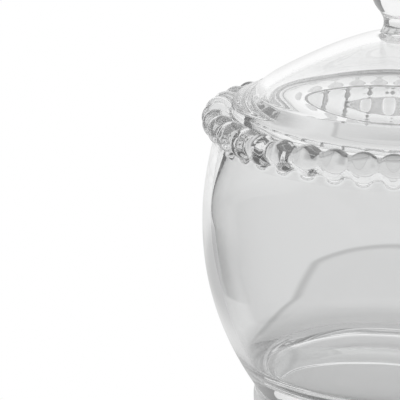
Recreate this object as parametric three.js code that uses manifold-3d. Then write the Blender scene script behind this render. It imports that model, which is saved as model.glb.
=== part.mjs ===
// Sugar bowl with a lift-off lid, all in clear glass.
// Units are millimetres and +Z is up. The origin is the middle of the foot's underside.
// Two loose pieces: the bowl (body, foot and rim beads) and the lid (cover, locating ring and knob).

import * as THREE from 'three';
import { mergeVertices } from 'three/addons/utils/BufferGeometryUtils.js';
import Module from 'manifold-3d';

// ---------------------------------------------------------------- driving sizes

const FIT_GAP = 0.3; // between glass elements that are fused or that rest on each other

const foot = {
  height: 10,
  topRadius: 37.5, // where the bowl stands on it
  bulge: 0.7, // how far its fullest place stands out from its top
  bulgeHeight: 6.5, // of its fullest place above the table
  wall: 5, // from the inside face to the fullest outside
  edgeRound: 1.2, // round on the edge that meets the table
};

// Heights in the bowl and of the beads are from the bowl's underside.
const bowl = {
  bellyRadius: 54.35, // the widest place of the wall
  bellyHeight: 51.2, // of the widest place
  neckFlare: 0.45, // how far the wall under the beads stands out from the circle of their centres
  wall: 3.5, // thickness of the wall at the belly
  floorThickness: 8.2, // at the floor's edge
  floorDish: 1.0, // how far the floor sinks in the middle
  heelRound: 5.5, // height of the inside round between wall and floor
  lowerSweep: 2.2, // exponent of the outside curve from belly to foot
  upperSweep: 1.6, // exponent of the outside curve from belly to neck
  innerSweep: 1.4, // exponent of the inside curve from belly to mouth
};

const rim = {
  mouthInset: 6.6, // from the circle of the beads' centres in to the mouth
  ledgeWidth: 4.2, // flat land that the lid's brim rests on
  topAboveBeads: 1.1, // rim's top above the plane of the beads' centres
  mouthDepth: 4.6, // straight inside wall under the rim's top
};

const beads = {
  spacing: 7.63, // wanted from centre to centre along their circle
  ringRadius: 51, // circle through the beads' centres
  radius: 4.2,
  planeHeight: 78.2, // of their centres
  seatClearance: 0.4, // from the beads' underside to the shoulder below them
};

const lid = {
  edgeClearance: 1.05, // from the brim's edge to the beads round it
  brimThickness: 5.0,
  brimLowerRound: 1.5, // round on the brim's lower edge
  brimUpperRound: 2.4, // round on the brim's upper edge
  brimWidth: 6.4, // from its outer edge in to the crease where the dome starts
  creaseRise: 2.0, // crease above the brim's outer edge
  domeRise: 17.4, // dome's top above the crease
  domeSweep: 1.3, // exponent of the dome's curve
  edgeDrop: 1.2, // how much of the dome's rise is a quick turn-down at its edge
  edgeSweep: 18, // exponent of that turn-down
  wall: 3.3, // thickness of the dome, measured upright
  dimpleRadius: 4.8, // of the hollow under the knob
  dimpleDepth: 1.8,
  ringClearance: 0.8, // locating ring to the mouth
  ringWall: 2.6,
  ringDepth: 3.6, // locating ring below the brim
};

const knob = {
  stemBaseRadius: 6.4,
  stemWaistRadius: 5.5,
  stemHeight: 4.6,
  waistHeight: 2.4, // of the narrowest place above the dome
  ballRadius: 9.6,
  ballFootRadius: 6.3, // flat under the ball, on the stem
};

const TURNED_SEGMENTS = 48; // facets round the big turned pieces
const KNOB_SEGMENTS = 30;
const CURVE_STEPS = 7; // straight steps in each long curve of an outline
const DOME_STEPS = 12; // straight steps in the dome, whose edge turns down quickly
const HEEL_STEPS = 5; // straight steps in the inside round above the floor
const ROUND_STEPS = 2; // straight steps in each small round
const PARABOLA = 2; // exponent of the short curves on the foot and the stem
const BRIM_ROUND_END = 70; // degrees, where the brim's upper round runs into its sloping top
const POLE_ROUND_END = 80; // degrees, the ball's last step before its pole
const BEAD_SEGMENTS = [10, 6]; // facets round and from pole to pole

// ---------------------------------------------------------------- sizes that follow

const bowlUnderside = foot.height + FIT_GAP;
const footOuterRadius = foot.topRadius + foot.bulge;
const bellyHeight = bowlUnderside + bowl.bellyHeight;
const floorHeight = bowlUnderside + bowl.floorThickness;
const neckRadius = beads.ringRadius + bowl.neckFlare;
const beadCount = Math.round((2 * Math.PI * beads.ringRadius) / beads.spacing);
const mouthRadius = beads.ringRadius - rim.mouthInset;
const beadPlane = bowlUnderside + beads.planeHeight;
const rimTop = beadPlane + rim.topAboveBeads;
const beadSeat = beadPlane - beads.radius - beads.seatClearance;
const rimOuterRadius = mouthRadius + rim.ledgeWidth;
const brimUnderside = rimTop + FIT_GAP;
const brimWidest = brimUnderside + lid.brimLowerRound;
const beadReach = Math.sqrt(Math.max(beads.radius ** 2 - (brimWidest - beadPlane) ** 2, 0));
const brimRadius = beads.ringRadius - beadReach - lid.edgeClearance;
const creaseRadius = brimRadius - lid.brimWidth;
const brimTop = brimUnderside + lid.brimThickness;
const creaseHeight = brimTop + lid.creaseRise;
const domeTop = creaseHeight + lid.domeRise;
const ringOuterRadius = mouthRadius - lid.ringClearance;
const ringInnerRadius = ringOuterRadius - lid.ringWall;
const stemFoot = domeTop + FIT_GAP;
const ballFoot = stemFoot + knob.stemHeight + FIT_GAP;
const ballCentre = ballFoot + Math.sqrt(knob.ballRadius ** 2 - knob.ballFootRadius ** 2);

// ---------------------------------------------------------------- outline helpers

// A point of an outline: radius from the axis and height above the table.
const at = (radius, height) => new THREE.Vector2(radius, height);

// Points for fractions 0 to 1 of a curve, both ends included.
function sample(curve, steps) {
  return Array.from({ length: steps + 1 }, (_, i) => curve(i / steps));
}

// An arc of a circle, angles in degrees from the outward direction.
function arc(centreRadius, centreHeight, radius, fromDeg, toDeg, steps = ROUND_STEPS) {
  return sample((t) => {
    const angle = THREE.MathUtils.degToRad(fromDeg + (toDeg - fromDeg) * t);
    return at(centreRadius + radius * Math.cos(angle), centreHeight + radius * Math.sin(angle));
  }, steps);
}

// A curve that leaves `start` upright and reaches `end` ever more steeply.
function sweep(start, end, exponent, steps = CURVE_STEPS) {
  return sample((t) => {
    const radius = start.x + (end.x - start.x) * t ** exponent;
    return at(radius, start.y + (end.y - start.y) * t);
  }, steps);
}

// Leaves out points that repeat the one before.
function withoutRepeats(points) {
  const SAME = 1e-6;
  return points.filter((p, i) => i === 0 || p.distanceTo(points[i - 1]) > SAME);
}

// ---------------------------------------------------------------- solid helpers

// Turns an outline about +Z. It starts and ends on the axis or closes on itself.
function turned(outline, segments = TURNED_SEGMENTS) {
  const geometry = new THREE.LatheGeometry(withoutRepeats(outline), segments);
  geometry.rotateX(Math.PI / 2);
  return geometry;
}

// A ring's outline, closed on itself.
const closed = (outline) => [...outline, outline[0].clone()];

const MERGE_DISTANCE = 1e-4; // points nearer than this are one point

const wasm = await Module();
wasm.setup();

// A closed geometry as a solid that can be cut.
function toSolid(source) {
  const bare = source.clone();
  bare.deleteAttribute('normal');
  bare.deleteAttribute('uv');
  const merged = mergeVertices(bare, MERGE_DISTANCE);
  const index = merged.index.array;
  const triangles = [];
  for (let i = 0; i < index.length; i += 3) {
    const [a, b, c] = index.slice(i, i + 3);
    if (a !== b && b !== c && c !== a) triangles.push(a, b, c);
  }
  return new wasm.Manifold(new wasm.Mesh({
    numProp: 3,
    vertProperties: new Float32Array(merged.attributes.position.array),
    triVerts: new Uint32Array(triangles),
  }));
}

// A cut solid back as a geometry.
function toGeometry(solid) {
  const mesh = solid.getMesh();
  const geometry = new THREE.BufferGeometry();
  geometry.setAttribute('position', new THREE.BufferAttribute(new Float32Array(mesh.vertProperties), 3));
  geometry.setIndex(new THREE.BufferAttribute(new Uint32Array(mesh.triVerts), 1));
  geometry.computeVertexNormals();
  return geometry;
}

// ---------------------------------------------------------------- the bowl

function bowlBodyGeometry() {
  const belly = at(bowl.bellyRadius, bellyHeight);
  const innerBelly = at(bowl.bellyRadius - bowl.wall, bellyHeight);
  const mouthBottom = at(mouthRadius, rimTop - rim.mouthDepth);
  const heel = heelCurve();
  return turned([
    at(0, bowlUnderside),
    at(foot.topRadius, bowlUnderside),
    ...sweep(belly, at(foot.topRadius, bowlUnderside), bowl.lowerSweep).reverse(),
    ...sweep(belly, at(neckRadius, beadSeat), bowl.upperSweep),
    at(rimOuterRadius, beadSeat),
    at(rimOuterRadius, rimTop),
    at(mouthRadius, rimTop),
    ...sweep(innerBelly, mouthBottom, bowl.innerSweep).reverse(),
    ...sweep(innerBelly, heel[0], bowl.lowerSweep),
    ...heel,
    at(0, floorHeight - bowl.floorDish),
  ]);
}

// The inside round from the wall, which runs parallel to the outside, down to the floor's edge.
function heelCurve() {
  const fall = (bowl.bellyRadius - foot.topRadius) / (bellyHeight - bowlUnderside) ** bowl.lowerSweep;
  const drop = bellyHeight - floorHeight - bowl.heelRound;
  const slope = Math.atan(fall * bowl.lowerSweep * drop ** (bowl.lowerSweep - 1));
  const top = at(bowl.bellyRadius - bowl.wall - fall * drop ** bowl.lowerSweep, bellyHeight - drop);
  const radius = bowl.heelRound / (1 - Math.sin(slope));
  const centre = at(top.x - radius * Math.cos(slope), top.y + radius * Math.sin(slope));
  return arc(centre.x, centre.y, radius, -THREE.MathUtils.radToDeg(slope), -90, HEEL_STEPS);
}

function footRingGeometry() {
  const innerRadius = footOuterRadius - foot.wall;
  const bulge = at(footOuterRadius, foot.bulgeHeight);
  const bottom = at(foot.topRadius, foot.edgeRound);
  return turned(closed([
    at(innerRadius, 0),
    ...arc(bottom.x - foot.edgeRound, foot.edgeRound, foot.edgeRound, -90, 0),
    ...sweep(bulge, bottom, PARABOLA, ROUND_STEPS).reverse(),
    ...sweep(bulge, at(foot.topRadius, foot.height), PARABOLA, ROUND_STEPS),
    at(innerRadius, foot.height),
  ]));
}

// One bead at angle 0: a sphere cut clear of its neighbours and of the rim.
function beadGeometry() {
  const sphere = new THREE.SphereGeometry(beads.radius, ...BEAD_SEGMENTS);
  sphere.rotateX(Math.PI / 2);
  sphere.translate(beads.ringRadius, 0, beadPlane);
  const bead = toSolid(sphere).intersect(toSolid(beadSector())).subtract(toSolid(rimCutter()));
  return toGeometry(bead);
}

// The slice of space that belongs to one bead, half a gap in from its neighbours.
function beadSector() {
  const reach = 2 * beads.radius;
  const halfAngle = Math.PI / beadCount;
  const inner = beads.ringRadius - reach;
  const outer = beads.ringRadius + reach;
  const halfWidth = (radius) => radius * Math.tan(halfAngle) - FIT_GAP / 2;
  const outline = new THREE.Shape([
    at(inner, -halfWidth(inner)),
    at(outer, -halfWidth(outer)),
    at(outer, halfWidth(outer)),
    at(inner, halfWidth(inner)),
  ]);
  const sector = new THREE.ExtrudeGeometry(outline, { depth: 2 * reach, bevelEnabled: false });
  sector.translate(0, 0, beadPlane - reach);
  return sector;
}

// The rim's own space, grown by the gap, which the beads are cut back from.
function rimCutter() {
  const outer = rimOuterRadius + FIT_GAP;
  const top = rimTop + FIT_GAP;
  const bottom = beadPlane - 2 * beads.radius;
  const inner = beads.ringRadius - 2 * beads.radius;
  return turned(closed([at(inner, bottom), at(outer, bottom), at(outer, top), at(inner, top)]));
}

// ---------------------------------------------------------------- the lid

// The dome's curve from the crease in to the knob's foot, `rise` above the top face.
function domeCurve(rise) {
  const flatTop = knob.stemBaseRadius + FIT_GAP;
  return sample((t) => {
    const share = 1 - t;
    const main = (lid.domeRise - lid.edgeDrop) * share ** lid.domeSweep;
    const fall = main + lid.edgeDrop * share ** lid.edgeSweep;
    return at(flatTop + (creaseRadius - flatTop) * share, domeTop + rise - fall);
  }, DOME_STEPS);
}

function lidCoverGeometry() {
  const lower = at(brimRadius - lid.brimLowerRound, brimUnderside + lid.brimLowerRound);
  const upper = at(brimRadius - lid.brimUpperRound, brimTop - lid.brimUpperRound);
  const dimple = sample((t) => {
    const height = domeTop - lid.wall + lid.dimpleDepth * (1 - t ** PARABOLA);
    return at(lid.dimpleRadius * t, height);
  }, ROUND_STEPS);
  return turned([
    ...dimple,
    ...domeCurve(-lid.wall).filter((p) => p.x < ringInnerRadius).reverse(),
    at(ringInnerRadius, brimUnderside),
    ...arc(lower.x, lower.y, lid.brimLowerRound, -90, 0),
    ...arc(upper.x, upper.y, lid.brimUpperRound, 0, BRIM_ROUND_END),
    ...domeCurve(0),
    at(0, domeTop),
  ]);
}

function locatingRingGeometry() {
  const top = brimUnderside - FIT_GAP;
  const bottom = brimUnderside - lid.ringDepth;
  const round = lid.ringWall / 2;
  const middle = ringOuterRadius - round;
  return turned(closed([
    at(ringInnerRadius, top),
    ...arc(middle, bottom + round, round, 180, 360, 2 * ROUND_STEPS),
    at(ringOuterRadius, top),
  ]));
}

function stemGeometry() {
  const waist = at(knob.stemWaistRadius, stemFoot + knob.waistHeight);
  const top = stemFoot + knob.stemHeight;
  return turned([
    at(0, stemFoot),
    ...sweep(waist, at(knob.stemBaseRadius, stemFoot), PARABOLA, ROUND_STEPS).reverse(),
    ...sweep(waist, at(knob.ballFootRadius, top), PARABOLA, ROUND_STEPS),
    at(0, top),
  ], KNOB_SEGMENTS);
}

function ballGeometry() {
  const footAngle = -THREE.MathUtils.radToDeg(Math.acos(knob.ballFootRadius / knob.ballRadius));
  return turned([
    at(0, ballFoot),
    ...arc(0, ballCentre, knob.ballRadius, footAngle, POLE_ROUND_END, 2 * CURVE_STEPS),
    at(0, ballCentre + knob.ballRadius),
  ], KNOB_SEGMENTS);
}

// ---------------------------------------------------------------- materials and assembly

const POLISHED = 0.04; // roughness of the glass

function clearGlass(shade) {
  return new THREE.MeshStandardMaterial({ color: shade, roughness: POLISHED, metalness: 0 });
}

const BOWL_GLASS = 0xdfe3e4;
const FOOT_GLASS = 0xd6dadc;
const BEAD_GLASS = 0xc4c9cb;
const LID_GLASS = 0xeff1f2;
const KNOB_GLASS = 0xe6e9ea;

function named(name, geometry, shade) {
  const mesh = new THREE.Mesh(geometry, clearGlass(shade));
  mesh.name = name;
  return mesh;
}

function makeBowl() {
  const group = new THREE.Group();
  group.add(named('bowl_body', bowlBodyGeometry(), BOWL_GLASS));
  group.add(named('foot_ring', footRingGeometry(), FOOT_GLASS));
  const bead = beadGeometry();
  const frontAngle = -Math.PI / 2;
  for (let i = 0; i < beadCount; i += 1) {
    const number = String(i + 1).padStart(2, '0');
    const mesh = named(`rim_bead_${number}`, bead, BEAD_GLASS);
    mesh.rotation.z = frontAngle - (i * 2 * Math.PI) / beadCount;
    group.add(mesh);
  }
  return group;
}

function makeLid() {
  const group = new THREE.Group();
  group.add(named('lid_cover', lidCoverGeometry(), LID_GLASS));
  group.add(named('lid_locating_ring', locatingRingGeometry(), LID_GLASS));
  group.add(named('knob_stem', stemGeometry(), KNOB_GLASS));
  group.add(named('knob_ball', ballGeometry(), KNOB_GLASS));
  return group;
}

const sugarBowl = new THREE.Group();
sugarBowl.add(makeBowl());
sugarBowl.add(makeLid());

export default sugarBowl;
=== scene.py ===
"""A clear glass sugar bowl with a beaded rim and a lift-off lid, for Blender 4.5.

Each CAD node gets one fine glass mesh of the same name. In the real object the bowl, its foot and its
beads are one fused piece of glass, and so are the lid and its knob. The meshes here are separate closed
solids that meet face to face, and the faces where they meet are clear, so light passes as in one piece.
"""

import math

import bpy
from mathutils import Matrix, Vector


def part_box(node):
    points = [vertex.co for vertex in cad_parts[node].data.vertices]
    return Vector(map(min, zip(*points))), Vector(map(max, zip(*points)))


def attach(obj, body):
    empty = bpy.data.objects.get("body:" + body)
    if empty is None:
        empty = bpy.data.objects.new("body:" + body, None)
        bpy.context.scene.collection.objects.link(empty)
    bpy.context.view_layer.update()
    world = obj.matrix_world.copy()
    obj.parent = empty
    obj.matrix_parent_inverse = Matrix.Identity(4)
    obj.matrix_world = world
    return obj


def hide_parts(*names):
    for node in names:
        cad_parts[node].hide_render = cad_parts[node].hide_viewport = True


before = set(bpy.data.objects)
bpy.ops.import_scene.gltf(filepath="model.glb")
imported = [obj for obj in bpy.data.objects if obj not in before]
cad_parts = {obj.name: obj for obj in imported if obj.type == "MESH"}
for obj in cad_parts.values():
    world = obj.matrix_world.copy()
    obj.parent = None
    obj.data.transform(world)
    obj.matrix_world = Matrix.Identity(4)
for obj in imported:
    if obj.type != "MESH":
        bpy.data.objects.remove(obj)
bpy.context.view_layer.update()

MM = 0.001

# ---------------------------------------------------------------- sizes, in millimetres

bead_low, bead_high = (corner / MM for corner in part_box("rim_bead_01"))
body_low, body_high = (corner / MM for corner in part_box("bowl_body"))
foot_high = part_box("foot_ring")[1] / MM
cover_low, cover_high = (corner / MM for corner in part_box("lid_cover"))
ring_low, ring_high = (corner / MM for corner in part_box("lid_locating_ring"))
stem_low, stem_high = (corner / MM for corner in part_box("knob_stem"))
ball_low, ball_high = (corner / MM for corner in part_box("knob_ball"))

BEADS = sorted(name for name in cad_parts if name.startswith("rim_bead_"))
BEAD_RADIUS = (bead_high.z - bead_low.z) / 2
BEAD_PLANE = (bead_high.z + bead_low.z) / 2
BEAD_RING = -bead_low.y - BEAD_RADIUS

# Foot
FOOT_TOP = (foot_high.z + body_low.z) / 2
FOOT_FULL_RADIUS = foot_high.x
FOOT_TOP_RADIUS = 37.5
FOOT_WALL = 5
FOOT_INNER_RADIUS = FOOT_FULL_RADIUS - FOOT_WALL
FOOT_BULGE = 6.5  # height of its fullest place
FOOT_EDGE = 1.2  # round on the edges at the table

# Bowl
BELLY_RADIUS = body_high.x
BELLY_HEIGHT = 61.5
NECK_RADIUS = 51.45
BEAD_SEAT_GAP = 0.4
NECK_HEIGHT = BEAD_PLANE - BEAD_RADIUS - BEAD_SEAT_GAP
WALL = 3.5
FLOOR_HEIGHT = 18.5
FLOOR_DISH = 1.0
HEEL_ROUND = 5.5  # height of the inside round between wall and floor
LOWER_SWEEP = 2.2
UPPER_SWEEP = 1.6
BELLY_EASE = 0.35  # softens the start of the curves above the belly
PUSH_UP = 1.6  # hollow of the underside, inside the foot

# Rim
RIM_TOP = body_high.z
MOUTH_RADIUS = 44.4
MOUTH_DEPTH = 4.6
INNER_SWEEP = 1.4
MOUTH_EDGE = 0.5
RIM_BEHIND_BEADS = 49.3
RIM_SHOULDER = 1.5
BEAD_JOINT_DROP = 5.9  # from the beads' plane to the foot of their joint with the wall
BEAD_JOINT_RADIUS = 46.3  # of the joint's top end, on the rim's land
BEAD_CORE_INSET = 2.4  # from the beads' centres in to the line that their sections fan out from
BEAD_CORE_DROP = 0.1
BEAD_FILLET = 0.8
BEAD_VALLEY = 2.75  # radius of the glass between two beads

# Lid
BRIM_RADIUS = cover_high.x
BRIM_UNDERSIDE = cover_low.z
BRIM_THICKNESS = 5.0
BRIM_TOP = BRIM_UNDERSIDE + BRIM_THICKNESS
BRIM_EDGE = 2.4
BRIM_LOWER_EDGE = 1.5
BRIM_ROUND_END = 70  # degrees, where the upper edge's round runs into the sloping top
CREASE_RADIUS = 40.5
CREASE_RISE = 2.0
CREASE_HEIGHT = BRIM_TOP + CREASE_RISE
DOME_TOP = cover_high.z
DOME_SWEEP = 1.3
DOME_EDGE_DROP = 1.2
DOME_EDGE_SWEEP = 18
DOME_WALL = 3.3
DIMPLE_RADIUS = 4.8
DIMPLE_DEPTH = 1.8
RING_OUTER = ring_high.x
RING_WALL = 2.6
RING_INNER = RING_OUTER - RING_WALL
RING_BOTTOM = ring_low.z
TURN_DOWN = 2.2  # width over which the dome's underside turns down to the ring

# Knob
STEM_BASE_RADIUS = stem_high.x
STEM_WAIST_RADIUS = 5.5
WAIST_RISE = 2.4
WAIST_HEIGHT = stem_low.z + WAIST_RISE
STEM_TOP = (stem_high.z + ball_low.z) / 2
STEM_TOP_RADIUS = 6.3
BALL_RADIUS = ball_high.x
BALL_CENTRE = ball_high.z - BALL_RADIUS

COLUMNS_PER_BEAD = 8
COLUMNS = COLUMNS_PER_BEAD * len(BEADS)
KNOB_COLUMNS = 144
BEAD_COLUMNS = 24
BEAD_ROWS = 44
LONG_STEPS = 60
HEEL_STEPS = 24
FLOOR_STEPS = 16
SHORT_STEPS = 12
LAND_STEPS = 3
LEDGE_STEPS = 2
BRIM_STEPS = 8
RING_STEPS = 16
DOME_STEPS = 64
UNDER_DOME_STEPS = 96
BALL_STEPS = 64
PARABOLA = 2  # exponent of short curves

SAME_POINT = 1e-6
PARALLEL = 1e-9


# ---------------------------------------------------------------- outlines

def arc(radius_at, height_at, radius, start_deg, end_deg, steps=8):
    """Points on an arc of an outline, angles in degrees from the outward direction."""
    points = []
    for i in range(steps + 1):
        angle = math.radians(start_deg + (end_deg - start_deg) * i / steps)
        points.append((radius_at + radius * math.cos(angle), height_at + radius * math.sin(angle)))
    return points


def sweep(start, end, exponent, steps=40, ease=0):
    """A curve that leaves start upright and leans more and more towards end. ease softens its start."""
    points = []
    for i in range(steps + 1):
        t = i / steps
        share = (t * t + ease * ease) ** (exponent / 2) - ease ** exponent
        share /= (1 + ease * ease) ** (exponent / 2) - ease ** exponent
        points.append((start[0] + (end[0] - start[0]) * share, start[1] + (end[1] - start[1]) * t))
    return points


def line(start, end, steps=6):
    """Evenly spaced points from start to end."""
    return [
        (start[0] + (end[0] - start[0]) * i / steps, start[1] + (end[1] - start[1]) * i / steps)
        for i in range(steps + 1)
    ]


def radius_at_height(points, height):
    """Where an outline's curve is at a height, by straight steps between its points."""
    for (r0, z0), (r1, z1) in zip(points, points[1:]):
        if min(z0, z1) <= height <= max(z0, z1) and z0 != z1:
            return r0 + (r1 - r0) * (height - z0) / (z1 - z0)
    raise ValueError(f"the outline doesn't reach height {height}")


# ---------------------------------------------------------------- shader nodes

def add_node(tree, kind, values=None, **settings):
    """Adds a node. A value that is another node's output is linked, any other is set."""
    node = tree.nodes.new(kind)
    for name, value in settings.items():
        setattr(node, name, value)
    for name, value in (values or {}).items():
        socket = node.inputs[name]
        if isinstance(value, bpy.types.NodeSocket):
            tree.links.new(value, socket)
        else:
            socket.default_value = value
    return node


def ramp(tree, value, low, high, from_value, to_value):
    """A smooth change from one number to another as value goes from low to high."""
    node = add_node(tree, "ShaderNodeMapRange", {
        "Value": value, "From Min": low, "From Max": high, "To Min": from_value, "To Max": to_value,
    }, interpolation_type="SMOOTHSTEP")
    return node.outputs["Result"]


# ---------------------------------------------------------------- materials

GLASS_IOR = 1.5
HAZE_SCALE = 60
HAZE_DETAIL = 4
HAZE_LOW = 0.45
HAZE_HIGH = 0.8
RIPPLE_SCALE = 45
RIPPLE_DETAIL = 1


def clear_glass(name, tint, ripple, film):
    """Clear glass: soft ripples in its surface and a faint film that dulls the polish in places."""
    material = bpy.data.materials.new(name)
    material.use_nodes = True
    tree = material.node_tree
    place = add_node(tree, "ShaderNodeTexCoord").outputs["Object"]
    haze = add_node(tree, "ShaderNodeTexNoise", {
        "Vector": place, "Scale": HAZE_SCALE, "Detail": HAZE_DETAIL,
    })
    polish = add_node(tree, "ShaderNodeMapRange", {
        "Value": haze.outputs["Fac"],
        "From Min": HAZE_LOW, "From Max": HAZE_HIGH,
        "To Min": 0, "To Max": film,
    })
    wave = add_node(tree, "ShaderNodeTexNoise", {
        "Vector": place, "Scale": RIPPLE_SCALE, "Detail": RIPPLE_DETAIL,
    })
    bump = add_node(tree, "ShaderNodeBump", {
        "Height": wave.outputs["Fac"], "Strength": 1, "Distance": ripple,
    })
    shader = tree.nodes["Principled BSDF"]
    shader.inputs["Base Color"].default_value = (*tint, 1)
    shader.inputs["Transmission Weight"].default_value = 1
    shader.inputs["IOR"].default_value = GLASS_IOR
    tree.links.new(polish.outputs["Result"], shader.inputs["Roughness"])
    tree.links.new(bump.outputs["Normal"], shader.inputs["Normal"])
    return material


def fused_face():
    """The face where two elements are fused: nothing is seen of it."""
    material = bpy.data.materials.new("fused_face")
    material.use_nodes = True
    shader = material.node_tree.nodes["Principled BSDF"]
    shader.inputs["Alpha"].default_value = 0
    shader.inputs["Specular IOR Level"].default_value = 0
    return material


FUSED = fused_face()
CLEAR = (0.985, 0.988, 0.988)
THICK = (0.95, 0.953, 0.953)
THIN = (0.992, 0.994, 0.994)
GLASS = {
    "bowl_glass": clear_glass("bowl_glass", CLEAR, ripple=0.00012, film=0.02),
    "foot_glass": clear_glass("foot_glass", CLEAR, ripple=0.0001, film=0.03),
    "bead_glass": clear_glass("bead_glass", THICK, ripple=0.00004, film=0.02),
    "lid_glass": clear_glass("lid_glass", THIN, ripple=0.0001, film=0.02),
    "knob_glass": clear_glass("knob_glass", CLEAR, ripple=0.00006, film=0.02),
}


# ---------------------------------------------------------------- meshes

def finish_piece(name, slot, body, vertices, faces, fused, creases):
    """Makes the piece's object. fused are the faces to show nothing of, creases the sharp edges."""
    mesh = bpy.data.meshes.new(name)
    mesh.from_pydata([Vector(v) * MM for v in vertices], [], faces)
    mesh.materials.append(GLASS[slot])
    mesh.materials.append(FUSED)
    for index in fused:
        mesh.polygons[index].material_index = 1
    mesh.shade_smooth()
    sharp = mesh.attributes.new("sharp_edge", "BOOLEAN", "EDGE")
    wanted = {tuple(sorted(edge)) for edge in creases}
    for edge in mesh.edges:
        if tuple(sorted(edge.vertices)) in wanted:
            sharp.data[edge.index].value = True
    mesh.validate()
    piece = bpy.data.objects.new(f"{name}_glass", mesh)
    bpy.context.scene.collection.objects.link(piece)
    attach(piece, body)
    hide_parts(name)
    return piece


def turned(name, slot, body, runs, columns, closed=False):
    """Turns an outline about +Z. runs is a list of (points, is fused); runs meet at sharp creases.

    The outline goes round the section with the glass on its left. An open one starts and ends on the
    axis.
    """
    outline, fused_steps, crease_rows = [], set(), set()
    for points, is_fused in runs:
        if outline and math.dist(outline[-1], points[0]) < SAME_POINT:
            points = points[1:]
            crease_rows.add(len(outline) - 1)
        elif outline:
            crease_rows.add(len(outline) - 1)
            crease_rows.add(len(outline))
        first = max(len(outline) - 1, 0)
        outline += points
        if is_fused:
            fused_steps.update(range(first, len(outline) - 1))
    if closed:
        if math.dist(outline[-1], outline[0]) < SAME_POINT:
            outline.pop()
        crease_rows.add(0)
    count = len(outline)
    vertices, rows = [], []
    for radius, height in outline:
        if radius < SAME_POINT:
            rows.append([len(vertices)] * columns)
            vertices.append((0, 0, height))
            continue
        rows.append(list(range(len(vertices), len(vertices) + columns)))
        for c in range(columns):
            angle = 2 * math.pi * c / columns
            vertices.append((radius * math.cos(angle), radius * math.sin(angle), height))
    faces, fused, creases = [], [], []
    for step in range(count if closed else count - 1):
        low, high = rows[step], rows[(step + 1) % count]
        for c in range(columns):
            d = (c + 1) % columns
            corners = [low[c], low[d], high[d], high[c]]
            if low[c] == low[d]:
                corners = [low[c], high[d], high[c]]
            elif high[c] == high[d]:
                corners = [low[c], low[d], high[d]]
            if step in fused_steps:
                fused.append(len(faces))
            faces.append(corners)
    for row in crease_rows:
        ring = rows[row]
        creases += [(ring[c], ring[(c + 1) % columns]) for c in range(columns) if ring[0] != ring[1]]
    return finish_piece(name, slot, body, vertices, faces, fused, creases)


# ---------------------------------------------------------------- the bowl's outlines

def outer_wall():
    """The outside of the wall, from the foot up to behind the beads."""
    belly = (BELLY_RADIUS, BELLY_HEIGHT)
    lower = sweep(belly, (FOOT_TOP_RADIUS, FOOT_TOP), LOWER_SWEEP, LONG_STEPS)[::-1]
    upper = sweep(belly, (NECK_RADIUS, NECK_HEIGHT), UPPER_SWEEP, ease=BELLY_EASE)[1:]
    return lower + upper


def inner_wall():
    """The inside of the wall, from the mouth down to the floor's edge."""
    inner_belly = (BELLY_RADIUS - WALL, BELLY_HEIGHT)
    mouth = line((MOUTH_RADIUS, RIM_TOP - MOUTH_EDGE), (MOUTH_RADIUS, RIM_TOP - MOUTH_DEPTH))
    neck = sweep(inner_belly, (MOUTH_RADIUS, RIM_TOP - MOUTH_DEPTH), INNER_SWEEP, ease=BELLY_EASE)
    upper = mouth[:-1] + neck[::-1]
    fall = (BELLY_RADIUS - FOOT_TOP_RADIUS) / (BELLY_HEIGHT - FOOT_TOP) ** LOWER_SWEEP
    heel_drop = BELLY_HEIGHT - FLOOR_HEIGHT - HEEL_ROUND
    heel = (inner_belly[0] - fall * heel_drop ** LOWER_SWEEP, BELLY_HEIGHT - heel_drop)
    slope = math.atan(fall * LOWER_SWEEP * heel_drop ** (LOWER_SWEEP - 1))
    lower = sweep(inner_belly, heel, LOWER_SWEEP, LONG_STEPS)[1:]
    radius = HEEL_ROUND / (1 - math.sin(slope))
    centre = (heel[0] - radius * math.cos(slope), FLOOR_HEIGHT + radius)
    return upper + lower + arc(*centre, radius, -math.degrees(slope), -90, HEEL_STEPS)[1:]


def rim_outside():
    """The rim behind the beads, from the neck to the flat land on top."""
    shoulder = (RIM_BEHIND_BEADS - RIM_SHOULDER, RIM_TOP - RIM_SHOULDER)
    back = line((NECK_RADIUS, NECK_HEIGHT), (RIM_BEHIND_BEADS, shoulder[1]), SHORT_STEPS)
    over = arc(*shoulder, RIM_SHOULDER, 0, 90)
    return back + over[1:] + line(over[-1], (MOUTH_RADIUS + MOUTH_EDGE, RIM_TOP), SHORT_STEPS)[1:]


BEAD_JOINT_LOW = (
    radius_at_height(outer_wall(), BEAD_PLANE - BEAD_JOINT_DROP),
    BEAD_PLANE - BEAD_JOINT_DROP,
)
BEAD_JOINT_TOP = (BEAD_JOINT_RADIUS, RIM_TOP)


def make_bowl_body():
    wall = [p for p in outer_wall() if p[1] < BEAD_JOINT_LOW[1]] + [BEAD_JOINT_LOW]
    joint = line(BEAD_JOINT_LOW, BEAD_JOINT_TOP)
    edge = arc(MOUTH_RADIUS + MOUTH_EDGE, RIM_TOP - MOUTH_EDGE, MOUTH_EDGE, 90, 180)
    land = line(BEAD_JOINT_TOP, edge[0], LAND_STEPS)
    shares = [i / FLOOR_STEPS for i in range(FLOOR_STEPS + 1)]
    underside = [(FOOT_INNER_RADIUS * s, FOOT_TOP + PUSH_UP * (1 - s ** 2)) for s in shares]
    inside = inner_wall()
    floor_radius = inside[-1][0]
    floor = [
        (floor_radius * (1 - s), FLOOR_HEIGHT - FLOOR_DISH * (1 - (1 - s) ** 2)) for s in shares
    ]
    return turned("bowl_body", "bowl_glass", "bowl", [
        (underside, False),
        (line((FOOT_INNER_RADIUS, FOOT_TOP), (FOOT_TOP_RADIUS, FOOT_TOP)), True),
        (wall, False),
        (joint, True),
        (land + edge[1:] + inside + floor[1:], False),
    ], COLUMNS)


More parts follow.
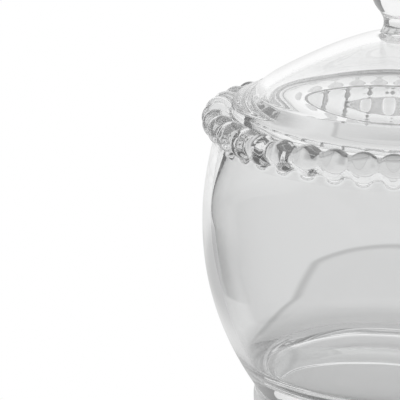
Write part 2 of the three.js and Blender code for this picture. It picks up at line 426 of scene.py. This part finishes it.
def make_foot():
    bulge = (FOOT_FULL_RADIUS, FOOT_BULGE)
    bottom = (FOOT_TOP_RADIUS, FOOT_EDGE)
    return turned("foot_ring", "foot_glass", "bowl", [
        (
            line((FOOT_INNER_RADIUS + FOOT_EDGE, 0), (bottom[0] - FOOT_EDGE, 0))
            + arc(bottom[0] - FOOT_EDGE, FOOT_EDGE, FOOT_EDGE, -90, 0)[1:]
            + sweep(bulge, bottom, PARABOLA, SHORT_STEPS)[::-1][1:]
            + sweep(bulge, (FOOT_TOP_RADIUS, FOOT_TOP), PARABOLA, SHORT_STEPS)[1:],
            False,
        ),
        (line((FOOT_TOP_RADIUS, FOOT_TOP), (FOOT_INNER_RADIUS, FOOT_TOP)), True),
        (
            line((FOOT_INNER_RADIUS, FOOT_TOP), (FOOT_INNER_RADIUS, FOOT_EDGE))
            + arc(FOOT_INNER_RADIUS + FOOT_EDGE, FOOT_EDGE, FOOT_EDGE, 180, 270)[1:],
            False,
        ),
    ], COLUMNS, closed=True)


# ---------------------------------------------------------------- the beads

def distance_to_outline(origin, direction, outline):
    """How far it is from origin to the outline along direction."""
    nearest = None
    for (r0, z0), (r1, z1) in zip(outline, outline[1:]):
        ax, ay = r1 - r0, z1 - z0
        cross = direction[0] * ay - direction[1] * ax
        if abs(cross) < PARALLEL:
            continue
        bx, by = r0 - origin[0], z0 - origin[1]
        along = (bx * ay - by * ax) / cross
        share = (bx * direction[1] - by * direction[0]) / cross
        on_step = -SAME_POINT <= share <= 1 + SAME_POINT
        if along > 0 and on_step and (nearest is None or along < nearest):
            nearest = along
    return nearest


def smooth_max(a, b, reach):
    """The larger of two numbers, rounded over where they are within reach of each other."""
    near = max(reach - abs(a - b), 0) / reach
    return max(a, b) + near * near * reach / 4


def bead_outlines():
    """The bead's section in each of its columns: a circle that flows into the rim's outline."""
    origin = (BEAD_RING - BEAD_CORE_INSET, BEAD_PLANE - BEAD_CORE_DROP)
    wall_below = [p for p in outer_wall() if p[1] < NECK_HEIGHT][-SHORT_STEPS:]
    rim = wall_below + rim_outside()
    start = math.atan2(BEAD_JOINT_LOW[1] - origin[1], BEAD_JOINT_LOW[0] - origin[0])
    end = math.atan2(BEAD_JOINT_TOP[1] - origin[1], BEAD_JOINT_TOP[0] - origin[0])
    directions = []
    for i in range(BEAD_ROWS + 1):
        angle = start + (end - start) * i / BEAD_ROWS
        directions.append((math.cos(angle), math.sin(angle)))
    behind = [distance_to_outline(origin, d, rim) for d in directions]
    half_pitch = math.pi / len(BEADS)
    outlines = []
    for c in range(BEAD_COLUMNS + 1):
        turn = half_pitch * (2 * c / BEAD_COLUMNS - 1)
        across = BEAD_RING * math.sin(turn)
        inside = math.sqrt(max(BEAD_RADIUS ** 2 - across ** 2, 0))
        radius = smooth_max(inside, BEAD_VALLEY, BEAD_FILLET)
        middle = (BEAD_RING * math.cos(turn) - origin[0], BEAD_PLANE - origin[1])
        outline = []
        for direction, wall in zip(directions, behind):
            toward = middle[0] * direction[0] + middle[1] * direction[1]
            away = middle[0] ** 2 + middle[1] ** 2 - toward ** 2
            reach = toward + math.sqrt(max(radius ** 2 - away, 0))
            reach = smooth_max(reach, wall, BEAD_FILLET)
            outline.append((origin[0] + direction[0] * reach, origin[1] + direction[1] * reach))
        outlines.append((turn, outline))
    return outlines


def make_bead(name, angle, outlines):
    """One bead: its round cap, and clear faces towards the rim and both neighbours."""
    vertices = []
    for turn, outline in outlines:
        around = angle + turn
        for radius, height in outline:
            vertices.append((radius * math.cos(around), radius * math.sin(around), height))
    rows = BEAD_ROWS + 1
    faces, fused, creases = [], [], []
    for c in range(BEAD_COLUMNS):
        for r in range(BEAD_ROWS):
            corner = c * rows + r
            faces.append([corner, corner + rows, corner + rows + 1, corner + 1])
        fused.append(len(faces))
        faces.append([c * rows, c * rows + BEAD_ROWS, (c + 1) * rows + BEAD_ROWS, (c + 1) * rows])
        creases.append((c * rows, (c + 1) * rows))
        creases.append((c * rows + BEAD_ROWS, (c + 1) * rows + BEAD_ROWS))
    last = BEAD_COLUMNS * rows
    for start, reverse in ((0, False), (last, True)):
        side = list(range(start, start + rows))
        fused.append(len(faces))
        faces.append(side[::-1] if reverse else side)
        creases += list(zip(side, side[1:]))
    return finish_piece(name, "bead_glass", "bowl", vertices, faces, fused, creases)


def make_beads():
    outlines = bead_outlines()
    for i, name in enumerate(BEADS):
        make_bead(name, -math.pi / 2 - 2 * math.pi * i / len(BEADS), outlines)


# ---------------------------------------------------------------- the lid

def dome(rise, start_radius, end_radius, steps):
    """The dome's curve, between two radii, inside to outside."""
    flat = STEM_BASE_RADIUS
    points = []
    for i in range(steps + 1):
        radius = start_radius + (end_radius - start_radius) * i / steps
        share = max(radius - flat, 0) / (CREASE_RADIUS - flat)
        fall = (DOME_TOP - CREASE_HEIGHT - DOME_EDGE_DROP) * share ** DOME_SWEEP
        fall += DOME_EDGE_DROP * share ** DOME_EDGE_SWEEP
        points.append((radius, DOME_TOP + rise - fall))
    return points


def make_lid_cover():
    edge = BRIM_RADIUS - BRIM_EDGE
    lower_edge = BRIM_RADIUS - BRIM_LOWER_EDGE
    under = [(r, z + DIMPLE_DEPTH * max(1 - (r / DIMPLE_RADIUS) ** 2, 0))
             for r, z in dome(-DOME_WALL, 0, RING_INNER - TURN_DOWN, UNDER_DOME_STEPS)]
    turn_down = under[-1]
    brim_top_edge = arc(edge, BRIM_TOP - BRIM_EDGE, BRIM_EDGE, 0, BRIM_ROUND_END)
    return turned("lid_cover", "lid_glass", "lid", [
        (under + line(turn_down, (RING_INNER, BRIM_UNDERSIDE))[1:], False),
        (line((RING_INNER, BRIM_UNDERSIDE), (RING_OUTER, BRIM_UNDERSIDE)), True),
        (
            line((RING_OUTER, BRIM_UNDERSIDE), (lower_edge, BRIM_UNDERSIDE), LEDGE_STEPS)
            + arc(lower_edge, BRIM_UNDERSIDE + BRIM_LOWER_EDGE, BRIM_LOWER_EDGE, -90, 0)[1:]
            + brim_top_edge
            + line(brim_top_edge[-1], (CREASE_RADIUS, CREASE_HEIGHT), BRIM_STEPS)[1:],
            False,
        ),
        (dome(0, STEM_BASE_RADIUS, CREASE_RADIUS, DOME_STEPS)[::-1], False),
        (line((STEM_BASE_RADIUS, DOME_TOP), (0, DOME_TOP)), True),
    ], COLUMNS)


def make_locating_ring():
    round_radius = (RING_OUTER - RING_INNER) / 2
    middle = RING_OUTER - round_radius
    low = RING_BOTTOM + round_radius
    return turned("lid_locating_ring", "lid_glass", "lid", [
        (
            line((RING_INNER, BRIM_UNDERSIDE), (RING_INNER, low))
            + arc(middle, low, round_radius, 180, 360, RING_STEPS)[1:]
            + line((RING_OUTER, low), (RING_OUTER, BRIM_UNDERSIDE))[1:],
            False,
        ),
        (line((RING_OUTER, BRIM_UNDERSIDE), (RING_INNER, BRIM_UNDERSIDE)), True),
    ], COLUMNS, closed=True)


def make_stem():
    waist = (STEM_WAIST_RADIUS, WAIST_HEIGHT)
    return turned("knob_stem", "knob_glass", "lid", [
        (line((0, DOME_TOP), (STEM_BASE_RADIUS, DOME_TOP)), True),
        (
            sweep(waist, (STEM_BASE_RADIUS, DOME_TOP), PARABOLA, SHORT_STEPS)[::-1]
            + sweep(waist, (STEM_TOP_RADIUS, STEM_TOP), PARABOLA, SHORT_STEPS)[1:],
            False,
        ),
        (line((STEM_TOP_RADIUS, STEM_TOP), (0, STEM_TOP)), True),
    ], KNOB_COLUMNS)


def make_ball():
    low = -math.degrees(math.acos(STEM_TOP_RADIUS / BALL_RADIUS))
    top = (0, BALL_CENTRE + BALL_RADIUS)
    return turned("knob_ball", "knob_glass", "lid", [
        (line((0, STEM_TOP), (STEM_TOP_RADIUS, STEM_TOP)), True),
        (arc(0, BALL_CENTRE, BALL_RADIUS, low, 90, BALL_STEPS)[1:-1] + [top], False),
    ], KNOB_COLUMNS)


make_bowl_body()
make_foot()
make_beads()
make_lid_cover()
make_locating_ring()
make_stem()
make_ball()


# ---------------------------------------------------------------- camera

CAMERA_DISTANCE = 10 * BEAD_RING * MM
SENSOR_WIDTH = 36
CLIP_NEAR = 0.01
CLIP_FAR = 100
CAMERA_ELEVATION = math.radians(13.52)
CAMERA_AROUND = math.radians(0.56)
AIM_LEFT = math.radians(6.38)
AIM_DOWN = math.radians(2.65)
CAMERA_ROLL = 0.021
FOCAL_SHARE = 4.5225  # focal length in sensor widths


def make_camera():
    """A long lens a little above the rim, aimed left of the bowl so that its left half fills the frame."""
    data = bpy.data.cameras.new("camera")
    data.sensor_width = SENSOR_WIDTH
    data.lens = SENSOR_WIDTH * FOCAL_SHARE
    data.clip_start = CLIP_NEAR
    data.clip_end = CLIP_FAR
    camera = bpy.data.objects.new("camera", data)
    bpy.context.scene.collection.objects.link(camera)
    bpy.context.scene.camera = camera
    ring_centre = Vector((0, 0, BEAD_PLANE * MM))
    away = Vector((0, -math.cos(CAMERA_ELEVATION), math.sin(CAMERA_ELEVATION))) * CAMERA_DISTANCE
    down = CAMERA_ELEVATION + AIM_DOWN
    forward = Vector((
        -math.sin(AIM_LEFT) * math.cos(down),
        math.cos(AIM_LEFT) * math.cos(down),
        -math.sin(down),
    ))
    right = forward.cross(Vector((0, 0, 1))).normalized()
    up = right.cross(forward)
    tilted_right = right * math.cos(CAMERA_ROLL) + up * math.sin(CAMERA_ROLL)
    tilted_up = up * math.cos(CAMERA_ROLL) - right * math.sin(CAMERA_ROLL)
    turn = Matrix((tilted_right, tilted_up, -forward)).transposed().to_4x4()
    around = Matrix.Rotation(CAMERA_AROUND, 4, "Z")
    camera.matrix_world = around @ (Matrix.Translation(ring_centre + away) @ turn)


make_camera()


# ---------------------------------------------------------------- stage and light

# Places on the stage are in metres, levels are shares of white.
TABLE_Z = -0.0001
TABLE_REACH = 12.0
# Painted contact shadow: the table glows at TABLE_NEAR within TABLE_NEAR_Y of the bowl's axis and rises to
# TABLE_MIDDLE by TABLE_MIDDLE_Y.
TABLE_NEAR, TABLE_MIDDLE, TABLE_FAR = 0.5, 0.78, 0.86
TABLE_NEAR_Y, TABLE_MIDDLE_Y, TABLE_FAR_Y = 0.03, 0.085, 1.2
# Painted shade: the table glows at TABLE_FRONT in front of the bowl, up to FRONT_LOW_Y, rising to full by
# FRONT_HIGH_Y.
TABLE_FRONT = 0.12
FRONT_LOW_Y, FRONT_HIGH_Y = -0.05, 0.01
SHADOW_HALF_WIDTH = 0.038
SHADOW_STRAIGHT_Y = 0.07
SHADOW_END_Y = 0.22
SHADOW_POWER = 1.9
SHADOW_EDGE_IN, SHADOW_EDGE_OUT = 0.84, 1.16
SHADOW_LEVEL = 0.94
SHADOW_EDGE_LEVEL = 0.72
CARD_X = -0.11
CARD_FRONT_Y = -0.4
RIGHT_CARD_X = 0.2
# Painted shade on the table beside the left card: from CARD_X to SHADE_X, full in front of SHADE_FRONT_Y and
# gone by SHADE_BACK_Y, down to SHADE_LEVEL.
SHADE_X = -0.05
SHADE_FRONT_Y, SHADE_BACK_Y = 0.08, 0.2
SHADE_LEVEL = 0.7
WORLD_FRONT = 0.28
WORLD_HORIZON = 0.88
WORLD_BACK = 1.0
WORLD_TOP = 0.7
WORLD_SIDE_LOW, WORLD_SIDE_HIGH = -0.3, 0.4  # how far back light starts and ends to grow
WORLD_TOP_LOW, WORLD_TOP_HIGH = 0.72, 0.9  # how far up the overhead grey starts and is full
WORLD_RISE = 0.2  # how far up the white behind the bowl is full
BOUNCES = 96
CLEAR_BOUNCES = 512


def seen_white(tree, level):
    """White where the camera looks straight at it, and level where glass shows or mirrors it."""
    path = add_node(tree, "ShaderNodeLightPath")
    return add_node(tree, "ShaderNodeMix", {
        "Factor": path.outputs["Is Camera Ray"], "A": level, "B": 1.0,
    }).outputs["Result"]


def glow_sheet(name, corners, level_at):
    """A flat sheet that glows, as a lit table or card does. level_at gives its level at a place on it."""
    mesh = bpy.data.meshes.new(name)
    mesh.from_pydata(corners, [], [(0, 1, 2, 3)])
    material = bpy.data.materials.new(name)
    material.use_nodes = True
    tree = material.node_tree
    tree.nodes.remove(tree.nodes["Principled BSDF"])
    place = add_node(tree, "ShaderNodeTexCoord").outputs["Object"]
    axes = add_node(tree, "ShaderNodeSeparateXYZ", {"Vector": place}).outputs
    glow = add_node(tree, "ShaderNodeEmission", {"Strength": seen_white(tree, level_at(tree, axes))})
    tree.links.new(glow.outputs["Emission"], tree.nodes["Material Output"].inputs["Surface"])
    mesh.materials.append(material)
    sheet = bpy.data.objects.new(name, mesh)
    bpy.context.scene.collection.objects.link(sheet)
    return sheet


def combine(tree, operation, first, second):
    """The result of a Math node on two outputs or numbers."""
    return add_node(tree, "ShaderNodeMath", {0: first, 1: second}, operation=operation).outputs[0]


def bowl_shadow(tree, axes):
    """Share of light left in a shadow behind the bowl, least along its edge.

    It is painted on the table by formula. No light casts it, and it doesn't move with the lid.
    """
    across = combine(tree, "DIVIDE", combine(tree, "ABSOLUTE", axes["X"], 0.0), SHADOW_HALF_WIDTH)
    past = combine(tree, "MAXIMUM", combine(tree, "SUBTRACT", axes["Y"], SHADOW_STRAIGHT_Y), 0.0)
    along = combine(tree, "DIVIDE", past, SHADOW_END_Y - SHADOW_STRAIGHT_Y)
    powers = combine(tree, "ADD", combine(tree, "POWER", across, SHADOW_POWER),
                     combine(tree, "POWER", along, SHADOW_POWER))
    inside = ramp(tree, powers, SHADOW_EDGE_IN, 1.0, SHADOW_LEVEL, SHADOW_EDGE_LEVEL)
    outside = ramp(tree, powers, 1.0, SHADOW_EDGE_OUT, 0, 1 - SHADOW_EDGE_LEVEL)
    return combine(tree, "ADD", inside, outside)


def table_level(tree, axes):
    """The table's level, all painted light and shade: a painted contact shadow near the bowl, painted dark
    in front of it, painted shade by the left card, the painted shadow behind it, and painted light growing
    towards the back.
    """
    spot = add_node(tree, "ShaderNodeCombineXYZ", {"X": axes["X"], "Y": axes["Y"]}).outputs[0]
    distance = add_node(tree, "ShaderNodeVectorMath", {0: spot}, operation="LENGTH").outputs["Value"]
    # painted contact shadow: darker near the bowl's axis
    middle = ramp(tree, distance, TABLE_NEAR_Y, TABLE_MIDDLE_Y, TABLE_NEAR, TABLE_MIDDLE)
    # painted light: the table glows brighter towards the back
    rise = ramp(tree, axes["Y"], TABLE_MIDDLE_Y, TABLE_FAR_Y, 0, TABLE_FAR - TABLE_MIDDLE)
    level = combine(tree, "ADD", middle, rise)
    # painted shade on the table beside the left card
    beside = ramp(tree, axes["X"], CARD_X, SHADE_X, 1, 0)
    before = ramp(tree, axes["Y"], SHADE_FRONT_Y, SHADE_BACK_Y, 1, 0)
    shade = ramp(tree, combine(tree, "MULTIPLY", beside, before), 0, 1, 1, SHADE_LEVEL)
    # painted shade in front of the bowl, for its glass to show as dark
    front = ramp(tree, axes["Y"], FRONT_LOW_Y, FRONT_HIGH_Y, TABLE_FRONT, 1)
    level = combine(tree, "MULTIPLY", level, front)
    level = combine(tree, "MULTIPLY", level, shade)
    return combine(tree, "MULTIPLY", level, bowl_shadow(tree, axes))


def make_floor():
    """A pale glowing table, brighter towards the back by painted light, with painted shade on it."""
    corners = [(x * TABLE_REACH, y * TABLE_REACH, TABLE_Z) for x, y in ((-1, -1), (1, -1), (1, 1), (-1, 1))]
    glow_sheet("floor", corners, table_level)


def make_card(name, x, low_back_y, high_back_y, height, level):
    """A dark card beside the bowl: a sheet that glows at a set dark level, painted shade that its glass
    shows as dark edges. The camera doesn't see it.

    Its back edge runs from low_back_y at the table to high_back_y at the top.
    """
    corners = [(x, CARD_FRONT_Y, 0), (x, low_back_y, 0), (x, high_back_y, height), (x, CARD_FRONT_Y, height)]
    card = glow_sheet(name, corners, lambda tree, axes: level)
    card.visible_camera = False


def make_world():
    """A studio: white behind the bowl, pale grey overhead, dark behind the camera, which sees white."""
    world = bpy.data.worlds.new("studio")
    world.use_nodes = True
    tree = world.node_tree
    way = add_node(tree, "ShaderNodeTexCoord").outputs["Generated"]
    axes = add_node(tree, "ShaderNodeSeparateXYZ", {"Vector": way}).outputs
    height = ramp(tree, axes["Z"], 0, WORLD_RISE, WORLD_HORIZON, WORLD_BACK)
    back = ramp(tree, axes["Y"], WORLD_SIDE_LOW, WORLD_SIDE_HIGH, WORLD_FRONT, height)
    upward = ramp(tree, axes["Z"], WORLD_TOP_LOW, WORLD_TOP_HIGH, 0, 1)
    level = add_node(tree, "ShaderNodeMix", {
        "Factor": upward, "A": back, "B": WORLD_TOP,
    }).outputs["Result"]
    tree.links.new(seen_white(tree, level), tree.nodes["Background"].inputs["Strength"])
    tree.nodes["Background"].inputs["Color"].default_value = (1, 1, 1, 1)
    bpy.context.scene.world = world


make_floor()
# Two dark cards of painted shade, seen only through the glass.
make_card("left_card", CARD_X, low_back_y=0.03, high_back_y=0.085, height=0.14, level=0.15)
make_card("right_card", RIGHT_CARD_X, low_back_y=0.29, high_back_y=0.29, height=0.35, level=0.3)
make_world()

scene = bpy.context.scene
scene.view_settings.view_transform = "Standard"
scene.cycles.max_bounces = BOUNCES
scene.cycles.transmission_bounces = BOUNCES
scene.cycles.glossy_bounces = BOUNCES
scene.cycles.transparent_max_bounces = CLEAR_BOUNCES
